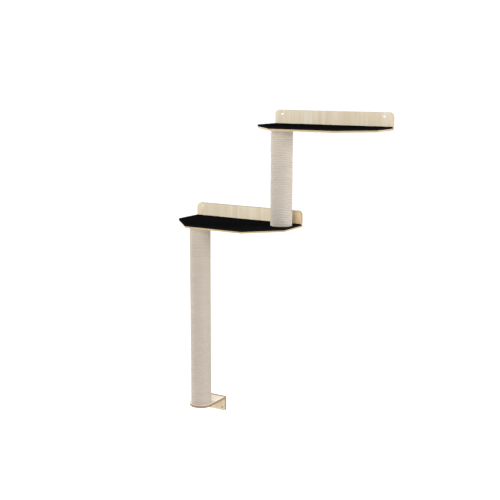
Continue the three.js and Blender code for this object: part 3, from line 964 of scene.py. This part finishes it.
def wall_screw(name, board, x, z, material):
    """A pan head screw through a board, shown as far as the wall."""
    low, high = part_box(board)
    spun = Matrix.Rotation(CROSS_TURN + CROSS_TURN_CHANGE * (x + z), 2)
    points, faces = [], []

    def add_ring(ring, height):
        turned = (spun @ spot for spot in ring)
        points.extend((x + spot.x, low.y - height, z + spot.y) for spot in turned)
        return len(points) - len(ring)

    def round_ring(radius):
        return circle((0, 0), radius, WALL_SCREW_SIDES)

    tip = low.y - high.y + WALL_SCREW_SHORT
    stem = [add_ring(round_ring(WALL_SCREW_SHANK), height) for height in (tip, 0)]
    head = [add_ring(round_ring(radius * MM), height * MM) for radius, height in WALL_SCREW_HEAD]
    top = WALL_SCREW_HEAD[-1][1] * MM
    recess = [
        add_ring(cross_ring(1), top),
        add_ring(cross_ring(CROSS_FLOOR_SHARE), top - CROSS_DEPTH),
    ]
    faces.extend(wall_faces(stem + head, WALL_SCREW_SIDES))
    arms = recess[1] - recess[0]
    faces.extend(wall_faces(recess, arms))
    faces.append(tuple(range(stem[0], stem[0] + WALL_SCREW_SIDES)))
    faces.append(tuple(range(recess[1], recess[1] + arms)))
    loops = [
        list(range(head[-1], head[-1] + WALL_SCREW_SIDES)),
        list(range(recess[0], recess[0] + arms)),
    ]
    flat = [[Vector((points[i][0], points[i][2], 0)) for i in loop] for loop in loops]
    numbers = [i for loop in loops for i in loop]
    faces.extend(tuple(numbers[i] for i in corner) for corner in tessellate_polygon(flat))
    piece = mesh_piece(name, points, faces, material, "zinc_steel")
    clean(piece, SAME_POINT)
    even_shading(piece)


def wall_screws(board, material):
    """The two screws that hold a board on the wall."""
    height = board.split("_")[0]
    for side, (x, z) in zip(("left", "right"), fixing_places(board)):
        wall_screw(f"{height}_{side}_wall_screw", board, x, z, material)


# ---------------------------------------------------------------- rope windings


def rope_winding(post, centre):
    """One rope wound turn on turn from the foot of a post to its head. Its first and last turns
    run out against the boards, where they are pressed flat."""
    low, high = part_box(f"{post}_tube")
    turns = round((high.z - low.z) / ROPE_PITCH_WANTED)
    pitch = (high.z - low.z) / turns
    radius = ROPE_DIAMETER / 2
    spine = TUBE_RADIUS + radius
    first = ROPE_RUN_OUT
    last = (turns + 1) * ROPE_STEPS - ROPE_RUN_OUT
    share = np.arange(first, last + 1) / ROPE_STEPS
    angle = 2 * math.pi * share
    height = low.z + (share - 0.5) * pitch
    side = np.linspace(0, 2 * math.pi, ROPE_SIDES, endpoint=False)
    out, up = (
        np.sign(turned) * np.abs(turned) ** (2 / ROPE_FLATNESS)
        for turned in (np.cos(side), np.sin(side))
    )
    reach = spine + np.where(out > 0, radius + ROPE_PROUD, radius) * out
    up = pitch / 2 * ROPE_SQUASH * up
    points = np.stack([
        centre.x + np.outer(np.cos(angle), reach),
        centre.y + np.outer(np.sin(angle), reach),
        np.clip(height[:, None] + up[None, :], low.z, high.z),
    ], axis=-1).reshape(-1, 3)
    faces, places = [], []
    for step in range(first, last):
        here = (step - first) * ROPE_SIDES
        there = here + ROPE_SIDES
        turn, within = divmod(step, ROPE_STEPS)
        left, right = within / ROPE_STEPS, (within + 1) / ROPE_STEPS
        for k in range(ROPE_SIDES):
            after = (k + 1) % ROPE_SIDES
            faces.append((here + k, there + k, there + after, here + after))
            bottom = (turn + k / ROPE_SIDES) / (turns + 1)
            top = (turn + (k + 1) / ROPE_SIDES) / (turns + 1)
            places.extend((left, bottom, right, bottom, right, top, left, top))
    end = (last - first) * ROPE_SIDES
    faces.append(tuple(reversed(range(ROPE_SIDES))))
    faces.append(tuple(range(end, end + ROPE_SIDES)))
    places.extend([0.0] * (4 * ROPE_SIDES))
    material = rope_yarn(f"{post}_rope_yarn", centre, low.z, pitch, ROPE_PAINTED_SHADE[post])
    piece = mesh_piece(f"{post}_rope_wound", points, faces, material, "rope", f"{post}_rope")
    layer = piece.data.uv_layers.new(name="OFBake")
    layer.data.foreach_set("uv", places)


# ---------------------------------------------------------------- shelf pads


def shelf_pad(shelf, material, post=None):
    """A thin felt mat on a shelf board. Its edge stands a little over the board and hangs down
    past the board's top, and a seam runs round it. A hole is cut where a post stands."""
    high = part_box(f"{shelf}_shelf_pad")[1]
    board_low, board_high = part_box(f"{shelf}_shelf_board")
    corners = [
        (x, y, PAD_CORNER_RADIUS if y < high.y - MM else radius)
        for x, y, radius in shelf_corners(board_low, board_high)
    ]
    counts = straight_counts(rounded_outline(corners), PAD_GRID)
    wall_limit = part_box(f"{shelf}_wall_panel")[0].y - PAD_WALL_GAP
    points, faces, starts = [], [], []
    for out, height in PAD_EDGE:
        starts.append(len(points))
        for spot in cut_sides(rounded_outline(corners, -out * MM), counts):
            lift = height * MM
            if spot.y > board_high.y - PAD_BACK_STRIP:
                lift = max(lift, PAD_BOARD_GAP)
            points.append((spot.x, min(spot.y, wall_limit), lift))
    count = sum(counts)
    faces.extend(wall_faces(starts, count))
    top_loops = [list(range(starts[-1], starts[-1] + count))]
    under_loops = [list(range(starts[0], starts[0] + count))]
    boundary = [Vector(points[i][:2]) for i in top_loops[0]]

    hole = 0.0
    if post is not None:
        hole = POST_RADIUS + PAD_POST_GAP
        hole_starts = []
        for out, height in PAD_HOLE_EDGE:
            hole_starts.append(len(points))
            ring = circle(post, hole + out * MM, PAD_HOLE_STEPS)
            points.extend((p.x, p.y, height * MM) for p in ring)
        faces.extend(wall_faces(hole_starts, PAD_HOLE_STEPS))
        top_loops.append(list(range(hole_starts[-1], hole_starts[-1] + PAD_HOLE_STEPS)))
        under_loops.append(list(range(hole_starts[0], hole_starts[0] + PAD_HOLE_STEPS)))
        hole += PAD_HOLE_EDGE[-1][0] * MM

    # The underside, from edge to edge.
    flat = [[Vector(points[i]) for i in loop] for loop in under_loops]
    numbers = [i for loop in under_loops for i in loop]
    faces.extend((numbers[c], numbers[b], numbers[a]) for a, b, c in tessellate_polygon(flat))

    # The top, on a grid inside the last rings.
    grid = []
    for row, y in enumerate(np.arange(board_low.y, board_high.y, PAD_GRID_ROWS)):
        shift = PAD_GRID / 2 if row % 2 else 0.0
        for x in np.arange(board_low.x + shift, board_high.x, PAD_GRID):
            spot = Vector((x, y))
            near_post = post is not None and (spot - post).length < hole + PAD_GRID_MARGIN
            if inside(spot, boundary, PAD_GRID_MARGIN) and not near_post:
                grid.append(spot)
    known = [i for loop in top_loops for i in loop]
    edges, begin = [], 0
    for loop in top_loops:
        edges.extend((begin + k, begin + (k + 1) % len(loop)) for k in range(len(loop)))
        begin += len(loop)
    spots = [Vector(points[i][:2]) for i in known] + grid
    numbers = known + list(range(len(points), len(points) + len(grid)))
    points.extend((p.x, p.y, PAD_EDGE[-1][1] * MM) for p in grid)
    triangles_only, nearness = 0, 1e-7
    joined = delaunay_2d_cdt(spots, edges, [], triangles_only, nearness, True)
    corner_spots, _, triangles, sources = joined[:4]
    for triangle in triangles:
        middle = sum((corner_spots[i] for i in triangle), Vector((0, 0))) / 3
        in_hole = post is not None and (middle - post).length < hole * PAD_HOLE_SHARE
        if inside(middle, boundary) and not in_hole:
            faces.append(tuple(numbers[sources[i][0]] for i in triangle))

    # Low soft swells, which fade out at the edge.
    seed = PAD_SEEDS[shelf]
    placed = []
    for x, y, z in points:
        share = min(1.0, max(0.0, (z / MM - SWELL_START) / (SWELL_WHOLE - SWELL_START)))
        swell = noise.noise(Vector((x * BROAD_SWELLS + seed, y * BROAD_SWELLS, seed)))
        fine = noise.noise(Vector((x * FINE_SWELLS, y * FINE_SWELLS + seed, seed)))
        swell += FINE_SWELL_SHARE * fine
        placed.append((x, y, board_high.z + z + share * swell * PAD_WAVINESS))
    pad = f"{shelf}_shelf_pad"
    piece = mesh_piece(f"{shelf}_shelf_felt_pad", placed, faces, material, "pad_felt", pad)
    clean(piece, PAD_SAME_POINT)


# ---------------------------------------------------------------- hardware that the CAD shaped


def finish_hardware(steel):
    """Finishes for the nodes that keep their own shape, with their edges eased."""
    finishes = {"tube": cardboard("tube_cardboard"), "plug": moulded("plug_plastic")}
    for name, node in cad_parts.items():
        kind = name.rsplit("_", 1)[-1]
        if kind in SHAPED_HERE:
            continue
        give(node, finishes.get(kind, steel))
        node.data.polygons.foreach_set("use_smooth", [True] * len(node.data.polygons))
        edges = node.modifiers.new("eased_edges", "BEVEL")
        edges.width = HARDWARE_EASE
        edges.segments = HARDWARE_EASE_STEPS
        edges.limit_method = "ANGLE"
        edges.angle_limit = HARDWARE_EDGE_ANGLE
        edges.harden_normals = True


# ---------------------------------------------------------------- floor


def make_floor():
    """A white floor far below the tree. It keeps the tree's shadow, and shows white elsewhere."""
    material = bpy.data.materials.new("white_floor")
    material.use_nodes = True
    tree = material.node_tree
    tree.nodes.clear()
    s = Shades(tree)
    output = s.node("ShaderNodeOutputMaterial")
    paint = s.node("ShaderNodeBsdfPrincipled")
    glow = s.node("ShaderNodeEmission")
    both = s.node("ShaderNodeAddShader")
    path = s.node("ShaderNodeLightPath")
    seen = rays_that_look(tree, path)
    place = s.node("ShaderNodeTexCoord").outputs["Object"]
    away = s.node("ShaderNodeVectorMath", operation="LENGTH")
    s.plug(away.inputs[0], place)
    glow_there = s.span(away.outputs["Value"], *FLOOR_GLOW_REACH, *FLOOR_GLOW, smooth=True)
    clouds = s.noise(place, scale=3.0)
    s.plug(paint.inputs["Base Color"], s.mix(clouds, srgb(244, 244, 243), srgb(240, 240, 239)))
    paint.inputs["Roughness"].default_value = FLOOR_ROUGHNESS
    s.plug(glow.inputs["Strength"], s.math("MULTIPLY", seen, glow_there))
    tree.links.new(paint.outputs[0], both.inputs[0])
    tree.links.new(glow.outputs[0], both.inputs[1])
    tree.links.new(both.outputs[0], output.inputs[0])
    mesh = bpy.data.meshes.new("floor")
    reach = FLOOR_REACH
    corners = [(-reach, -reach, 0), (reach, -reach, 0), (reach, reach, 0), (-reach, reach, 0)]
    mesh.from_pydata(corners, [], [(0, 1, 2, 3)])
    floor = bpy.data.objects.new("floor", mesh)
    floor.location = (0, 0, FLOOR_HEIGHT)
    bpy.context.scene.collection.objects.link(floor)
    give(floor, material)


# ---------------------------------------------------------------- making everything

make_camera()
make_world()
make_lights()
make_floor()

shelf_wood("middle", [(LOWER_POST, sunk_bolt_hole), (UPPER_POST, bolt_hole)])
shelf_wood("upper", [(UPPER_POST, sunk_bolt_hole)])
foot_wood()
rope_winding("lower_post", LOWER_POST)
rope_winding("upper_post", UPPER_POST)
pad_felt = felt("black_felt")
shelf_pad("middle", pad_felt, UPPER_POST)
shelf_pad("upper", pad_felt)
finish_hardware(zinc("zinc_plated_steel"))
# Lit and shaded copies of one zinc: painted highlight, painted wood reflection, painted shade.
wall_screws("upper_wall_panel", zinc("zinc_steel_painted_highlight"))
wall_screws("middle_wall_panel", zinc("zinc_steel_painted_wood_reflection"))
wall_screws("foot_wall_plate", zinc("zinc_steel_painted_shade"))

bpy.context.scene.view_settings.view_transform = "Standard"
bpy.context.view_layer.update()
